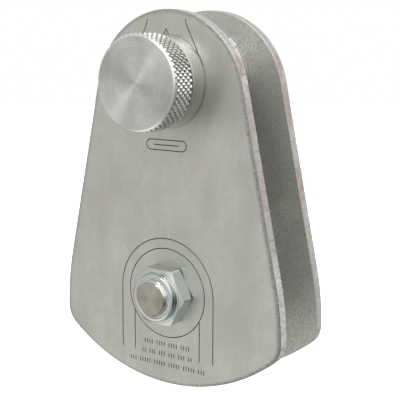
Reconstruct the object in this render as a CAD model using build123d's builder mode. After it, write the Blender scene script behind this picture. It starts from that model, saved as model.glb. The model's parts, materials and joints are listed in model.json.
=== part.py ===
"""Rigging block: two sheaves one above the other, on one line, between steel cheek plates.

Millimetres, +Z up.  The origin is on the upper spindle's axis, midway between the plates.
X runs across the block.  The front plate, with the locking knob and the axle nut, faces -Y.
Depths are given as stations: distances from the middle of the gap, positive to the front.
"""
import os
from math import acos, atan2, cos, pi, radians, sin, sqrt, tan

from build123d import *

os.makedirs("parts", exist_ok=True)

INCH = 25.4

# Cheek plates: quarter-inch steel, one and a quarter inches apart
PLATE_T = INCH / 4
FACE = 1.25 * INCH / 2
OUTER = FACE + PLATE_T
TOP_R = 44.9
TOP_Z = -9.4
HALF_WIDTH = 67.3
HIP_R = 145.0
CORNER_R = 12.8
CORNER_Z = -125.0
BOTTOM_R = 98.4
AXLE_Z = -108.5
ROLL_WIDTH = 3.2
ROLL_DEPTH = 0.7
EDGE_BREAK = 0.3
RUNNING = 0.05
SEATED = 0.02
OVERRUN = 1.0

# Lines cut in the front plate's face
CUT_WIDTH = 0.5
CUT_DEPTH = 0.25
RING_R = 23.5
ARCH_R = 28.7
INNER_LEG_X = 20.5
LEG_END_Z = -141.7
SLING_LINE = ((22.0, 8.3), (14.6, 23.0), (11.2, 32.2))
ARROW_TIP_Z = 25.9
ARROW_BARB = (1.9, 22.2)
BADGE_Z = -31.8
BADGE_SIZE = (25.0, 5.8)
TICK_SIZE = (0.45, 2.5)
TICK_PITCH = 1.55
TICK_ROWS = ((-136.2, 10, 5), (-141.6, 10, 4), (-147.0, 15, 6))  # height, reach each way, gap every
BADGE_DASH = 0.6

# Hexagons and lock nuts
HEX_FACE_INSET = 0.4
HEX_BEVEL = radians(30)
NUT_FOOT = 0.7
NUT_DOME = ((1.4, 0.0), (0.4, 0.5), (0.0, 1.3))  # below the top, in from the collar's side
LIP_WIDTH = 0.8
LIP_HEIGHT = 0.6
INSERT_WIDTH = 1.9
INSERT_SEAT = 1.0
INSERT_BEVEL = 0.15

# Lower axle, its lock nut and the rope sheave
AXLE_R = 0.75 * INCH / 2
AXLE_AF = 1.125 * INCH
HEAD_H = 11.9
AXLE_OUT = 14.3
AXLE_CHAMFER = 0.9
SLEEVE_R = 13.0
ROPE_SHEAVE_R = 1.5 * INCH
ROPE_GROOVE_R = 10.3
ROPE_ROOT_R = 25.4
SHEAVE_HALF = 14.45
LOWER_BUSH_R = 16.0
HUB_R = 22.0
POCKET_R = 33.5
POCKET_DEPTH = 0.8
POCKET_EDGE = 0.5
POCKET_SLOPE = 0.6
ROPE_LIP = 1.1
ROPE_RIM_ROUND = 1.2
WASHER_T = 1.2

# Upper spindle and the sling sheave
SPINDLE_R = AXLE_R
SPINDLE_END = 15.4
SPINDLE_BEVEL = 0.5
SHANK_BEVEL = 0.8
SHANK_R = 0.625 * INCH / 2
SHANK_AF = 0.9375 * INCH
SHANK_OUT = 11.4
SOCKET_DEPTH = 9.0
SLING_SHEAVE_R = 25.0
SLING_WAIST_R = 16.6
SLING_RIM = 2.6
SLING_RIM_ROUND = 0.8
SLING_WASHER_OVER = 0.3
UPPER_BUSH_R = 12.0
RING_SEAT = 13.0
RING_SEAT_R = 13.4
SNAP_T = 1.2
SNAP_R = 11.6
SNAP_GROOVE_R = 8.7
SNAP_PLAY = 0.1
SNAP_DROP = 0.4
SNAP_EAR = (4.0, 9.9)
SNAP_EAR_R = 2.2
SNAP_EYE = (4.1, 10.1)
SNAP_EYE_R = 0.8
SNAP_GAP = (4.4, 8.0)

# Spring plunger that locks the front plate: housing, pin and knob
COLLAR_R = 23.4
COLLAR_TOP = OUTER + 10.1
COLLAR_BEVEL = 0.5
SPIGOT_R = 14.0
SPIGOT_BEVEL = 0.3
NECK_R = 13.0
NECK_TOP = 39.0
NOSE_R = 6.35
GUIDE_TOP = 20.0
CAVITY_R = 10.5
CAP_BASE = 36.5
CAP_DROP = 0.1
SPANNER_X = 7.9
SPANNER_R = 1.0
SPANNER_DEPTH = 1.6
STEM_R = 5.0
FLANGE_R = 10.2
FLANGE_T = 2.4
NOSE_BEVEL = 0.4
THREAD_R = 4.0
THREAD_LENGTH = 5.5
THREAD_DEPTH = 5.8
KNOB_R = 23.9
KNOB_BASE = COLLAR_TOP + 1.4
KNOB_TOP = KNOB_BASE + 13.8
KNOB_WELL_R = 13.6
KNOB_WELL_TOP = 40.0
KNOB_BEVEL = 1.5
KNOB_BASE_BEVEL = 0.6
SEAT_T = 0.8
SEAT_PLAY = 0.15
SEAT_INSET = 0.4
SEAT_BEVEL = 0.1
WIRE_R = 0.65
COIL_R = 7.8
COIL_TURNS = 3.5
SCREW_PCD_R = 18.6
SCREW_R = 2.0
SCREW_HEAD_R = 3.9
SCREW_HEAD_H = 2.1
SCREW_HEAD_SLOPE = 44
SCREW_HEAD_PLAY = 0.1
SCREW_LENGTH = 11.0
SCREW_KEY_R = 1.25
SCREW_KEY_DEPTH = 1.6
DRILL_OVER = 0.8
GRUB_STATION = 43.0
GRUB_ANGLE = 215.0
GRUB_LENGTH = 10.0
GRUB_KEY_R = 1.0
GRUB_KEY_DEPTH = 2.5


def facing(station):
    """Plane facing the front at a station, with local X across and local Y up."""
    return Plane.XZ.offset(station)


def turn(points, z=0.0, mode=Mode.ADD):
    """Turn a closed profile of (station, radius) points about the Y direction at height z."""
    with BuildSketch(Plane.YZ) as profile:
        with BuildLine():
            Polyline(*[(-station, z + radius) for station, radius in points], close=True)
        make_face()
    revolve(profile.sketch, axis=Axis((0, 0, z), (0, 1, 0)), mode=mode)


def ring(inner_r, outer_r, start, end, z=0.0, bevel=0.3):
    """Turned ring between two stations, its outer edges bevelled."""
    turn(
        [
            (start, inner_r),
            (end, inner_r),
            (end, outer_r - bevel),
            (end - bevel, outer_r),
            (start + bevel, outer_r),
            (start, outer_r - bevel),
        ],
        z,
    )


def bore(radius, start, end, z=0.0):
    """Cut a round hole between two stations."""
    with BuildSketch(facing(start)) as hole:
        with Locations((0, z)):
            Circle(radius)
    extrude(hole.sketch, amount=end - start, mode=Mode.SUBTRACT)


def finish(piece, name):
    """Label a finished piece and write it out."""
    piece.part.label = name
    export_step(piece.part, f"parts/{name}.step")


# ---------------------------------------------------------------- cheek plates


def cheek_lines():
    """Outline of a cheek plate, clockwise from the top: arcs that blend, and straight flanks."""
    hip_x = HALF_WIDTH - HIP_R
    corner_x = HALF_WIDTH - CORNER_R
    bottom_z = CORNER_Z + sqrt((BOTTOM_R - CORNER_R) ** 2 - corner_x**2)
    reach = sqrt(hip_x**2 + (CORNER_Z - TOP_Z) ** 2)
    flank = atan2(CORNER_Z - TOP_Z, hip_x) + acos((TOP_R - HIP_R) / reach)
    foot = atan2(CORNER_Z - bottom_z, corner_x)

    def on(x, z, radius, angle):
        return (x + radius * cos(angle), z + radius * sin(angle))

    crown = (0, TOP_Z + TOP_R)
    shoulder = on(0, TOP_Z, TOP_R, flank)
    flank_end = on(hip_x, CORNER_Z, HIP_R, flank)
    hip = (HALF_WIDTH, CORNER_Z)
    heel = on(corner_x, CORNER_Z, CORNER_R, foot)
    base = (0, bottom_z - BOTTOM_R)
    half_crown = on(0, TOP_Z, TOP_R, (flank + pi / 2) / 2)
    half_hip = on(hip_x, CORNER_Z, HIP_R, flank / 2)
    half_corner = on(corner_x, CORNER_Z, CORNER_R, foot / 2)
    half_base = on(0, bottom_z, BOTTOM_R, (foot - pi / 2) / 2)

    def flip(point):
        return (-point[0], point[1])

    ThreePointArc(crown, half_crown, shoulder)
    Line(shoulder, flank_end)
    ThreePointArc(flank_end, half_hip, hip)
    ThreePointArc(hip, half_corner, heel)
    ThreePointArc(heel, half_base, base)
    ThreePointArc(base, flip(half_base), flip(heel))
    ThreePointArc(flip(heel), flip(half_corner), flip(hip))
    ThreePointArc(flip(hip), flip(half_hip), flip(flank_end))
    Line(flip(flank_end), flip(shoulder))
    ThreePointArc(flip(shoulder), flip(half_crown), crown)


def cheek_blank(inner, outer):
    """Plate between two stations: sharp edge broken inside, rolled over outside by blanking."""
    with BuildSketch(facing(inner)) as face:
        with BuildLine():
            cheek_lines()
        make_face()
    extrude(face.sketch, amount=outer - inner)
    side = 1 if outer > inner else -1
    with BuildLine(facing(outer)) as rim:
        cheek_lines()
    with BuildSketch(Plane.YZ) as roll:
        crown = TOP_Z + TOP_R
        with BuildLine():
            EllipticalCenterArc(
                (-outer + side * ROLL_DEPTH, crown - ROLL_WIDTH),
                ROLL_DEPTH,
                ROLL_WIDTH,
                start_angle=90 if side > 0 else 0,
                arc_size=90,
            )
            lip = (-outer + side * ROLL_DEPTH, crown)
            beyond = -outer - side * OVERRUN
            Polyline(lip, (lip[0], crown + OVERRUN), (beyond, crown + OVERRUN),
                     (beyond, crown - ROLL_WIDTH), (-outer, crown - ROLL_WIDTH))
        make_face()
    sweep(roll.sketch, path=rim.wires()[0], mode=Mode.SUBTRACT)


def break_inner_edge(piece, inner):
    """Take the sharp corner off the outline at the inner face."""
    edges = piece.edges().filter_by_position(Axis.Y, -inner, -inner)
    chamfer(edges, EDGE_BREAK)


def cut_marks():
    """Rope and sling diagram, a plain badge and three rows of ticks in the front face."""
    with BuildSketch(facing(OUTER)) as marks:
        with BuildLine():
            CenterArc((0, AXLE_Z), RING_R, 0, 360)
        trace(line_width=CUT_WIDTH)
        with BuildLine():
            Line((ARCH_R, LEG_END_Z), (ARCH_R, AXLE_Z))
            CenterArc((0, AXLE_Z), ARCH_R, 0, 180)
            Line((-ARCH_R, AXLE_Z), (-ARCH_R, LEG_END_Z))
        trace(line_width=CUT_WIDTH)
        leg_start_z = AXLE_Z - sqrt(RING_R**2 - INNER_LEG_X**2)
        for side in (-1, 1):
            low, knee, high = [(side * x, z) for x, z in SLING_LINE]
            with BuildLine():
                straight = Line(low, knee)
                TangentArc(knee, high, tangent=straight % 1)
            trace(line_width=CUT_WIDTH)
            with BuildLine():
                Line((side * INNER_LEG_X, leg_start_z), (side * INNER_LEG_X, LEG_END_Z))
            trace(line_width=CUT_WIDTH)
            with BuildLine():
                Line((0, ARROW_TIP_Z), (side * ARROW_BARB[0], ARROW_BARB[1]))
            trace(line_width=CUT_WIDTH)
        with Locations((0, BADGE_Z)):
            SlotOverall(*BADGE_SIZE)
            SlotOverall(BADGE_SIZE[0] - 2 * CUT_WIDTH, BADGE_SIZE[1] - 2 * CUT_WIDTH, mode=Mode.SUBTRACT)
            Rectangle(BADGE_SIZE[0] * BADGE_DASH, CUT_WIDTH)
        for z, reach, skip in TICK_ROWS:
            places = [(i * TICK_PITCH, z) for i in range(-reach, reach + 1) if i % skip]
            with Locations(*places):
                Rectangle(*TICK_SIZE)
    extrude(marks.sketch, amount=-CUT_DEPTH, mode=Mode.SUBTRACT)


def screw_places():
    """Three screws that hold the plunger housing, as (x, z) centres."""
    angles = [radians(90 + 120 * i) for i in range(3)]
    return [(SCREW_PCD_R * cos(a), SCREW_PCD_R * sin(a)) for a in angles]


with BuildPart() as front_plate:
    cheek_blank(FACE, OUTER)
    break_inner_edge(front_plate, FACE)
    cut_marks()
    bore(AXLE_R + RUNNING, FACE, OUTER, AXLE_Z)
    bore(SPIGOT_R + SEATED, FACE, OUTER)
    with Locations(*[facing(FACE).rotated((180, 0, 0)) * Pos(x, -z, 0) for x, z in screw_places()]):
        CounterSinkHole(SCREW_R + SEATED, SCREW_HEAD_R, PLATE_T)
finish(front_plate, "front_plate")

with BuildPart() as rear_plate:
    cheek_blank(-FACE, -OUTER)
    break_inner_edge(rear_plate, -FACE)
    bore(AXLE_R + SEATED, -FACE, -OUTER, AXLE_Z)
    bore(SHANK_R + SEATED, -FACE, -OUTER)
finish(rear_plate, "rear_plate")

# ---------------------------------------------------------------- lower axle


def hex_prism(across_flats, start, end, z=0.0, turned=0.0):
    """Hexagonal bar between two stations, a corner pointing across."""
    with BuildSketch(facing(start)) as outline:
        with Locations((0, z)):
            RegularPolygon(across_flats / 2, 6, major_radius=False, rotation=turned)
    extrude(outline.sketch, amount=end - start)


def round_corners(across_flats, start, end, z=0.0):
    """Bevel a hexagon's corners at its end face by turning it."""
    corner_r = across_flats / sqrt(3)
    face_r = across_flats / 2 - HEX_FACE_INSET
    side = 1 if end > start else -1
    low = end - side * (corner_r - face_r) * tan(HEX_BEVEL)
    beyond = end + side * OVERRUN
    turn(
        [
            (beyond, face_r),
            (end, face_r),
            (low, corner_r),
            (low, corner_r + OVERRUN),
            (beyond, corner_r + OVERRUN),
        ],
        z,
        Mode.SUBTRACT,
    )


def lock_nut(across_flats, shank_r, seat, side, hex_h, total_h, collar_r, z=0.0, turned=0.0):
    """Lock nut seated on a station: hexagon, round collar and a lip over the insert ring."""
    top = seat + side * total_h
    shoulder = seat + side * hex_h
    hex_prism(across_flats, seat, shoulder, z, turned)
    round_corners(across_flats, seat, shoulder, z)
    root = shoulder - side * INSERT_SEAT
    under_lip = top - side * LIP_HEIGHT
    beyond = top + side * OVERRUN
    turn(
        [
            (root, 0),
            (root, collar_r + NUT_FOOT),
            (shoulder, collar_r + NUT_FOOT),
            (shoulder + side * NUT_FOOT, collar_r),
            *[(top - side * drop, collar_r - inset) for drop, inset in NUT_DOME],
            (top, 0),
        ],
        z,
    )
    bore(shank_r + SEATED, seat, top, z)
    turn(
        [
            (root, shank_r),
            (beyond, shank_r),
            (beyond, shank_r + LIP_WIDTH),
            (under_lip, shank_r + LIP_WIDTH),
            (under_lip, shank_r + INSERT_WIDTH),
            (root, shank_r + INSERT_WIDTH),
        ],
        z,
        Mode.SUBTRACT,
    )


def insert_ring(shank_r, seat, side, hex_h, total_h, z=0.0):
    """Plastic ring held in a lock nut's collar."""
    start = seat + side * (hex_h - INSERT_SEAT)
    end = seat + side * (total_h - LIP_HEIGHT - SEATED)
    low, high = min(start, end), max(start, end)
    ring(shank_r + SEATED, shank_r + INSERT_WIDTH - SEATED, low, high, z, INSERT_BEVEL)


with BuildPart() as axle_bolt:
    head = -OUTER - HEAD_H
    hex_prism(AXLE_AF, -OUTER, head, AXLE_Z)
    round_corners(AXLE_AF, -OUTER, head, AXLE_Z)
    root, end = -OUTER - OVERRUN, OUTER + AXLE_OUT
    turn(
        [
            (root, 0),
            (root, AXLE_R),
            (end - AXLE_CHAMFER, AXLE_R),
            (end, AXLE_R - AXLE_CHAMFER),
            (end, 0),
        ],
        AXLE_Z,
    )
finish(axle_bolt, "axle_bolt")

AXLE_NUT = {"seat": OUTER, "side": 1, "hex_h": 8.8, "total_h": 12.1, "z": AXLE_Z}
with BuildPart() as axle_nut:
    lock_nut(AXLE_AF, AXLE_R, collar_r=12.6, turned=-2, **AXLE_NUT)
finish(axle_nut, "axle_nut")

with BuildPart() as axle_nut_insert:
    insert_ring(AXLE_R, **AXLE_NUT)
finish(axle_nut_insert, "axle_nut_insert")

with BuildPart() as lower_sleeve:
    ring(AXLE_R + SEATED, SLEEVE_R, -FACE, FACE - RUNNING, AXLE_Z)
finish(lower_sleeve, "lower_sleeve")

with BuildPart() as lower_bush:
    ring(SLEEVE_R + RUNNING, LOWER_BUSH_R - SEATED, -SHEAVE_HALF, SHEAVE_HALF, AXLE_Z)
finish(lower_bush, "lower_bush")

for side, name in ((1, "front"), (-1, "rear")):
    near, far = FACE - RUNNING - WASHER_T, FACE - RUNNING
    with BuildPart() as lower_thrust_washer:
        ring(SLEEVE_R + RUNNING, HUB_R, min(side * near, side * far), max(side * near, side * far), AXLE_Z)
    finish(lower_thrust_washer, f"lower_thrust_washer_{name}")

with BuildPart() as lower_sheave:
    with BuildSketch(Plane.YZ) as rim:
        with BuildLine():
            lip_y = ROPE_GROOVE_R + ROPE_LIP
            shelf_r = AXLE_Z + ROPE_ROOT_R + ROPE_GROOVE_R
            tip_r = AXLE_Z + ROPE_SHEAVE_R
            groove = CenterArc((0, shelf_r), ROPE_GROOVE_R, 180, 180)
            Polyline(
                groove @ 1,
                (lip_y, tip_r),
                (SHEAVE_HALF, tip_r),
                (SHEAVE_HALF, AXLE_Z + LOWER_BUSH_R),
                (-SHEAVE_HALF, AXLE_Z + LOWER_BUSH_R),
                (-SHEAVE_HALF, tip_r),
                (-lip_y, tip_r),
                groove @ 0,
            )
        make_face()
        fillet(rim.vertices().sort_by(Axis.Y)[-4:], ROPE_RIM_ROUND)
    revolve(rim.sketch, axis=Axis((0, 0, AXLE_Z), (0, 1, 0)))
    for side in (1, -1):
        floor = side * (SHEAVE_HALF - POCKET_DEPTH)
        turn(
            [(side * SHEAVE_HALF, HUB_R + POCKET_EDGE), (side * SHEAVE_HALF, POCKET_R),
             (floor, POCKET_R - POCKET_SLOPE), (floor, HUB_R + POCKET_EDGE + POCKET_SLOPE)],
            AXLE_Z,
            Mode.SUBTRACT,
        )
finish(lower_sheave, "lower_sheave")

# ---------------------------------------------------------------- upper spindle

SPINDLE_NUT = {"seat": -OUTER, "side": -1, "hex_h": 7.2, "total_h": 9.6}

with BuildPart() as upper_spindle:
    tail = -OUTER - SHANK_OUT
    turn(
        [
            (SPINDLE_END, 0),
            (SPINDLE_END, SPINDLE_R - SPINDLE_BEVEL),
            (SPINDLE_END - SPINDLE_BEVEL, SPINDLE_R),
            (-FACE, SPINDLE_R),
            (-FACE, SHANK_R),
            (tail + SHANK_BEVEL, SHANK_R),
            (tail, SHANK_R - SHANK_BEVEL),
            (tail, 0),
        ]
    )
    snap_start = RING_SEAT + SNAP_PLAY
    snap_end = snap_start + SNAP_T + SNAP_PLAY
    turn(
        [
            (snap_start, SNAP_GROOVE_R),
            (snap_end, SNAP_GROOVE_R),
            (snap_end, SPINDLE_R + OVERRUN),
            (snap_start, SPINDLE_R + OVERRUN),
        ],
        mode=Mode.SUBTRACT,
    )
    bore(NOSE_R + RUNNING, SPINDLE_END, SPINDLE_END - SOCKET_DEPTH)
finish(upper_spindle, "upper_spindle")

with BuildPart() as spindle_nut:
    lock_nut(SHANK_AF, SHANK_R, collar_r=10.4, **SPINDLE_NUT)
finish(spindle_nut, "spindle_nut")

with BuildPart() as spindle_nut_insert:
    insert_ring(SHANK_R, **SPINDLE_NUT)
finish(spindle_nut_insert, "spindle_nut_insert")

with BuildPart() as spindle_snap_ring:
    with BuildSketch(facing(RING_SEAT + 1.5 * SNAP_PLAY)) as flat_ring:
        with Locations((0, -SNAP_DROP)):
            Circle(SNAP_R)
        with Locations(SNAP_EAR, (-SNAP_EAR[0], SNAP_EAR[1])):
            Circle(SNAP_EAR_R)
        Circle(SNAP_GROOVE_R + SEATED, mode=Mode.SUBTRACT)
        with Locations((0, SNAP_R)):
            Rectangle(*SNAP_GAP, mode=Mode.SUBTRACT)
        with Locations(SNAP_EYE, (-SNAP_EYE[0], SNAP_EYE[1])):
            Circle(SNAP_EYE_R, mode=Mode.SUBTRACT)
    extrude(flat_ring.sketch, amount=SNAP_T)
finish(spindle_snap_ring, "spindle_snap_ring")

with BuildPart() as upper_thrust_washer:
    washer_start = RUNNING - FACE
    washer_r = SLING_SHEAVE_R + SLING_WASHER_OVER
    ring(SPINDLE_R + RUNNING, washer_r, washer_start, washer_start + WASHER_T)
finish(upper_thrust_washer, "upper_thrust_washer")

with BuildPart() as upper_bush:
    ring(SPINDLE_R + RUNNING, UPPER_BUSH_R - SEATED, -SHEAVE_HALF, RING_SEAT)
finish(upper_bush, "upper_bush")

with BuildPart() as upper_sheave:
    with BuildSketch(Plane.YZ) as spool:
        half = SHEAVE_HALF - SLING_RIM
        with BuildLine():
            waist = ThreePointArc((-half, SLING_SHEAVE_R), (0, SLING_WAIST_R), (half, SLING_SHEAVE_R))
            Polyline(
                waist @ 1,
                (SHEAVE_HALF, SLING_SHEAVE_R),
                (SHEAVE_HALF, UPPER_BUSH_R),
                (-SHEAVE_HALF, UPPER_BUSH_R),
                (-SHEAVE_HALF, SLING_SHEAVE_R),
                waist @ 0,
            )
        make_face()
        fillet(spool.vertices().sort_by(Axis.Y)[-4:], SLING_RIM_ROUND)
    revolve(spool.sketch, axis=Axis.Y)
    bore(RING_SEAT_R, SHEAVE_HALF, RING_SEAT)
finish(upper_sheave, "upper_sheave")

# ---------------------------------------------------------------- locking plunger

with BuildPart() as plunger_housing:
    turn(
        [
            (FACE, NOSE_R + RUNNING),
            (FACE, SPIGOT_R - SPIGOT_BEVEL),
            (FACE + SPIGOT_BEVEL, SPIGOT_R),
            (OUTER, SPIGOT_R),
            (OUTER, COLLAR_R),
            (COLLAR_TOP - COLLAR_BEVEL, COLLAR_R),
            (COLLAR_TOP, COLLAR_R - COLLAR_BEVEL),
            (COLLAR_TOP, NECK_R),
            (NECK_TOP - COLLAR_BEVEL, NECK_R),
            (NECK_TOP, NECK_R - COLLAR_BEVEL),
            (NECK_TOP, CAVITY_R),
            (GUIDE_TOP, CAVITY_R),
            (GUIDE_TOP, NOSE_R + RUNNING),
        ]
    )
    with BuildSketch(facing(OUTER)) as tapped:
        with Locations(*screw_places()):
            Circle(SCREW_R + SEATED)
    extrude(tapped.sketch, amount=SCREW_LENGTH - PLATE_T + DRILL_OVER, mode=Mode.SUBTRACT)
finish(plunger_housing, "plunger_housing")

with BuildPart() as housing_screws:
    for x, z in screw_places():
        with BuildSketch(facing(FACE + SEATED)) as head_face:
            with Locations((x, z)):
                Circle(SCREW_HEAD_R - SCREW_HEAD_PLAY)
        extrude(head_face.sketch, amount=SCREW_HEAD_H - SCREW_HEAD_PLAY, taper=SCREW_HEAD_SLOPE)
        with BuildSketch(facing(FACE + SCREW_HEAD_H / 2)) as shank_face:
            with Locations((x, z)):
                Circle(SCREW_R)
        extrude(shank_face.sketch, amount=SCREW_LENGTH - SCREW_HEAD_H / 2)
        with BuildSketch(facing(FACE)) as socket:
            with Locations((x, z)):
                RegularPolygon(SCREW_KEY_R, 6, major_radius=False)
        extrude(socket.sketch, amount=SCREW_KEY_DEPTH, mode=Mode.SUBTRACT)
finish(housing_screws, "housing_screws")

with BuildPart() as housing_cap:
    ring(STEM_R + RUNNING, CAVITY_R - SEATED, CAP_BASE, NECK_TOP - CAP_DROP)
    with BuildSketch(facing(NECK_TOP)) as spanner_holes:
        with Locations((SPANNER_X, 0), (-SPANNER_X, 0)):
            Circle(SPANNER_R)
    extrude(spanner_holes.sketch, amount=-SPANNER_DEPTH, mode=Mode.SUBTRACT)
finish(housing_cap, "housing_cap")

flange_base = GUIDE_TOP + RUNNING
flange_top = flange_base + FLANGE_T
with BuildPart() as plunger:
    turn(
        [
            (FACE + RUNNING, 0),
            (FACE + RUNNING, NOSE_R - NOSE_BEVEL),
            (FACE + RUNNING + NOSE_BEVEL, NOSE_R),
            (flange_base, NOSE_R),
            (flange_base, FLANGE_R),
            (flange_top, FLANGE_R),
            (flange_top, STEM_R),
            (KNOB_WELL_TOP - SEATED, STEM_R),
            (KNOB_WELL_TOP - SEATED, THREAD_R - SEATED),
            (KNOB_WELL_TOP + THREAD_LENGTH, THREAD_R - SEATED),
            (KNOB_WELL_TOP + THREAD_LENGTH, 0),
        ]
    )
finish(plunger, "plunger")

with BuildPart() as spring_seat:
    seat_r = FLANGE_R - SEAT_INSET
    ring(STEM_R + SEAT_PLAY, seat_r, flange_top + SEATED, flange_top + SEAT_T, bevel=SEAT_BEVEL)
finish(spring_seat, "spring_seat")

with BuildPart() as plunger_spring:
    spring_start = flange_top + SEAT_T + WIRE_R + SEATED
    spring_length = CAP_BASE - WIRE_R - SEATED - spring_start
    with BuildLine() as coil:
        Helix(
            pitch=spring_length / COIL_TURNS,
            height=spring_length,
            radius=COIL_R,
            center=(0, -spring_start, 0),
            direction=(0, -1, 0),
        )
    with BuildSketch(Plane(origin=coil.line @ 0, z_dir=coil.line % 0)) as wire:
        Circle(WIRE_R)
    sweep(wire.sketch, path=coil.line)
finish(plunger_spring, "plunger_spring")

grub_way = Plane(
    origin=(0, -GRUB_STATION, 0),
    x_dir=(0, 1, 0),
    z_dir=(cos(radians(GRUB_ANGLE)), 0, sin(radians(GRUB_ANGLE))),
)

with BuildPart() as knob:
    turn(
        [
            (KNOB_BASE, KNOB_WELL_R),
            (KNOB_BASE, KNOB_R - KNOB_BASE_BEVEL),
            (KNOB_BASE + KNOB_BASE_BEVEL, KNOB_R),
            (KNOB_TOP - KNOB_BEVEL, KNOB_R),
            (KNOB_TOP, KNOB_R - KNOB_BEVEL),
            (KNOB_TOP, 0),
            (KNOB_WELL_TOP + THREAD_DEPTH, 0),
            (KNOB_WELL_TOP + THREAD_DEPTH, THREAD_R),
            (KNOB_WELL_TOP, THREAD_R),
            (KNOB_WELL_TOP, KNOB_WELL_R),
        ]
    )
    with BuildSketch(grub_way) as grub_hole:
        Circle(SCREW_R)
    extrude(grub_hole.sketch, amount=KNOB_R + OVERRUN, mode=Mode.SUBTRACT)
finish(knob, "knob")

with BuildPart() as knob_grub_screw:
    with BuildSketch(grub_way.offset(THREAD_R + RUNNING)) as grub:
        Circle(SCREW_R - SEATED)
    extrude(grub.sketch, amount=GRUB_LENGTH)
    with BuildSketch(grub_way.offset(THREAD_R + RUNNING + GRUB_LENGTH)) as grub_socket:
        RegularPolygon(GRUB_KEY_R, 6, major_radius=False)
    extrude(grub_socket.sketch, amount=-GRUB_KEY_DEPTH, mode=Mode.SUBTRACT)
finish(knob_grub_screw, "knob_grub_screw")
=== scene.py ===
"""Looks of the rigging block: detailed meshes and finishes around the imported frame."""
import json
from math import acos, atan2, cos, hypot, pi, radians, sin, sqrt, tau

import bmesh
import bpy
import numpy as np
from mathutils import Matrix, Vector
from mathutils.geometry import delaunay_2d_cdt


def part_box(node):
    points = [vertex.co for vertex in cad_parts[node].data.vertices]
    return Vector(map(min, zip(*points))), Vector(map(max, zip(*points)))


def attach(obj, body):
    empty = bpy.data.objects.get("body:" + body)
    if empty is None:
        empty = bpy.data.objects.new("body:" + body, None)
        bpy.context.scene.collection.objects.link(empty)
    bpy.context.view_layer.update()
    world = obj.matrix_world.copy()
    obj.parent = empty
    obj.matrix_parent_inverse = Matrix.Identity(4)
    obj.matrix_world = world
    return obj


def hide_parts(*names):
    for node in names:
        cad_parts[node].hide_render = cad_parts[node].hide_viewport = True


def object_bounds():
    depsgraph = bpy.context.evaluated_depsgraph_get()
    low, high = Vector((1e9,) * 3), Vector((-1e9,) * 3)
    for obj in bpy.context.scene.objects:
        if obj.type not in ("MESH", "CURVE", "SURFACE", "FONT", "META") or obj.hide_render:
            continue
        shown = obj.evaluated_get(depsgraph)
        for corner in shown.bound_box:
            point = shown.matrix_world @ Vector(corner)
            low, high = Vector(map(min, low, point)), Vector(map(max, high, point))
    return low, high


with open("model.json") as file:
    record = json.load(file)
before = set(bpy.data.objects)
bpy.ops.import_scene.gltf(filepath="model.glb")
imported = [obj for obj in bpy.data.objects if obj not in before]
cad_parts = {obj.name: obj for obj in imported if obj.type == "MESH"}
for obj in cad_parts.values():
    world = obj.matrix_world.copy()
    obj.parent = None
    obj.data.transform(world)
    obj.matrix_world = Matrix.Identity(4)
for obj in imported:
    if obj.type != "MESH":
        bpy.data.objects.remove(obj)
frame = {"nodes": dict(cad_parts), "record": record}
nodes = frame["nodes"]
cad_low, cad_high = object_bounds()

MM = 0.001
INCH = 25.4 * MM
SHANK_R = 0.375 * INCH
TAIL_R = 0.3125 * INCH

# ---------------------------------------------------------------- places, read from the frame


def middle(node):
    """Centre of a CAD node's box, as (x, z)."""
    low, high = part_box(node)
    return ((low.x + high.x) / 2, (low.z + high.z) / 2)


SPINDLE = (0.0, 0.0)
AXLE = (0.0, middle("lower_sleeve")[1])
PLATE_LOW, PLATE_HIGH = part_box("front_plate")
FRONT_OUT, FRONT_IN = PLATE_LOW.y, PLATE_HIGH.y
REAR_IN, REAR_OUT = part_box("rear_plate")[0].y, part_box("rear_plate")[1].y

# ---------------------------------------------------------------- meshes


def weld(mesh):
    """Join points that coincide and turn every face outwards."""
    work = bmesh.new()
    work.from_mesh(mesh)
    bmesh.ops.remove_doubles(work, verts=work.verts, dist=2e-7)
    bmesh.ops.recalc_face_normals(work, faces=work.faces)
    work.to_mesh(mesh)
    work.free()


def add_piece(name, points, faces, materials, body, stands_for=(), sharp=28, indices=None):
    """Make a mesh object that rides on a body, takes a slot's finish and stands for CAD nodes."""
    mesh = bpy.data.meshes.new(name)
    mesh.from_pydata([tuple(p) for p in points], [], faces)
    for finish in materials:
        mesh.materials.append(finish)
    if indices is not None:
        mesh.polygons.foreach_set("material_index", indices)
    mesh.validate()
    weld(mesh)
    mesh.shade_smooth()
    mesh.set_sharp_from_angle(angle=radians(sharp))
    piece = bpy.data.objects.new(name, mesh)
    bpy.context.scene.collection.objects.link(piece)
    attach(piece, body)
    if stands_for:
        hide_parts(*stands_for)
    return piece


def turned_mesh(rings, centre, segments, closed=False):
    """Points and faces of a turned shape. A ring is (y, radius), or a function of the angle."""
    points, faces, rows = [], [], []
    for ring in rings:
        if not callable(ring) and ring[1] == 0:
            rows.append([len(points)] * segments)
            points.append((centre[0], ring[0], centre[1]))
            continue
        rows.append(list(range(len(points), len(points) + segments)))
        for k in range(segments):
            angle = tau * k / segments
            y, radius = ring(angle) if callable(ring) else ring
            points.append((centre[0] + radius * cos(angle), y, centre[1] + radius * sin(angle)))
    pairs = list(zip(rows, rows[1:]))
    if closed:
        pairs.append((rows[-1], rows[0]))
    for low, high in pairs:
        for k in range(segments):
            n = (k + 1) % segments
            corners = [low[k], low[n], high[n], high[k]]
            face = [c for i, c in enumerate(corners) if c not in corners[:i]]
            if len(face) > 2:
                faces.append(face)
    return points, faces


def turned(name, rings, centre, finish, body, stands_for=(), segments=160, closed=False, sharp=28):
    """A turned piece about the Y direction through centre."""
    points, faces = turned_mesh(rings, centre, segments, closed)
    return add_piece(name, points, faces, [finish], body, stands_for, sharp)


# ---------------------------------------------------------------- finishes


TURNING_WANDER = 0.0007


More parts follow.
